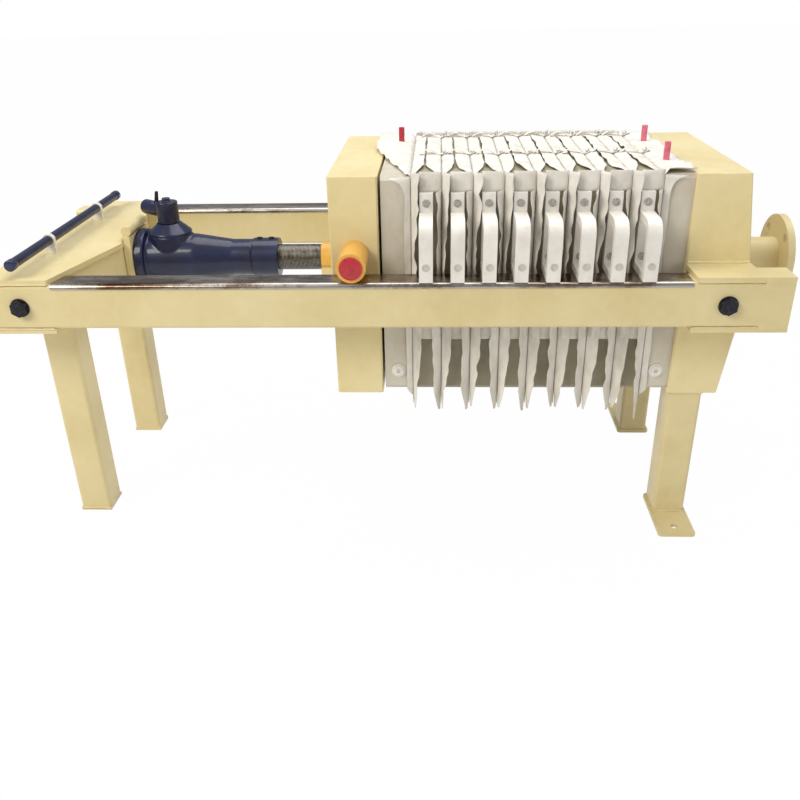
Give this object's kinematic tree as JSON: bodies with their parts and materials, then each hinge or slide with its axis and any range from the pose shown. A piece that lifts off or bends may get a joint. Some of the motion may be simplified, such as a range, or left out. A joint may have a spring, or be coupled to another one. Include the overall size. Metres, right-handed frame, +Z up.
{
  "type": "manual plate filter press",
  "caption": "Manual plate filter press: a screw jack clamps a pack of square white filter plates with cloths between two welded heads on side beams with legs.",
  "frame": {"origin": "on the floor, under the centre of the whole machine's bounding box", "axes": "+X along the beams from the jack end to the feed end, +Y from the front beam to the rear beam, +Z up"},
  "size_m": [1.691, 0.673, 0.805],
  "materials": {
    "frame_paint": "gloss cream enamel",
    "lug_paint": "gloss warm yellow enamel",
    "rail_stainless": "bright finish, lightly scuffed",
    "bolt_black": "black oxide, satin",
    "jack_enamel": "gloss navy enamel over a rough casting",
    "screw_steel": "turned, oiled",
    "plate_polypropylene": "moulded, satin",
    "filter_cloth": "plain woven",
    "cap_red": "moulded gloss",
    "clip_white": "gloss enamel"
  },
  "bodies": {
    "root": {"beam_bolts": "bolt_black", "drain_plugs": "plate_polypropylene", "feed_flange": "frame_paint", "feed_pipe": "frame_paint", "filter_cloths": "filter_cloth", "filter_plate_1": "plate_polypropylene", "filter_plate_2": "plate_polypropylene", "filter_plate_3": "plate_polypropylene", "filter_plate_4": "plate_polypropylene", "filter_plate_5": "plate_polypropylene", "filter_plate_6": "plate_polypropylene", "filter_plate_7": "plate_polypropylene", "filter_plate_8": "plate_polypropylene", "front_grips": "plate_polypropylene", "front_rail_strip": "rail_stainless", "front_side_beam": "frame_paint", "head_plate": "plate_polypropylene", "jack_end_bottom_plate": "frame_paint", "jack_end_feet": "frame_paint", "jack_end_legs": "frame_paint", "jack_end_top_plate": "frame_paint", "jack_end_webs": "frame_paint", "jack_gear_cover": "jack_enamel", "jack_housing": "jack_enamel", "jack_nose_collar": "jack_enamel", "jack_seat_plate": "frame_paint", "lever_clips": "clip_white", "lever_tube": "jack_enamel", "locating_pins": "cap_red", "rear_grips": "plate_polypropylene", "rear_rail_strip": "rail_stainless", "rear_side_beam": "frame_paint", "seat_crossbar": "frame_paint", "tail_plate": "plate_polypropylene", "thrust_bottom_ears": "frame_paint", "thrust_end_feet": "frame_paint", "thrust_end_legs": "frame_paint", "thrust_head": "frame_paint", "thrust_top_ears": "frame_paint"},
    "press_head_slide": {"press_head": "frame_paint", "press_head_lid": "frame_paint", "press_head_lugs": "lug_paint", "lug_caps": "cap_red", "jack_screw": "screw_steel", "screw_socket": "lug_paint", "screw_cradle": "frame_paint"},
    "ratchet": {"ratchet_head": "jack_enamel", "ratchet_arm": "jack_enamel", "ratchet_pawl": "bolt_black"}
  },
  "joints": [
    {"name": "head_slide", "type": "slide", "parent": "root", "child": "press_head_slide", "axis": [-1, 0, 0], "range_m": [0, 0.08]},
    {"name": "ratchet_turn", "type": "hinge", "parent": "root", "child": "ratchet", "pos_m": [-0.5183, 0, 0.6245], "axis": [0, 0, 1], "continuous": true}
  ]
}
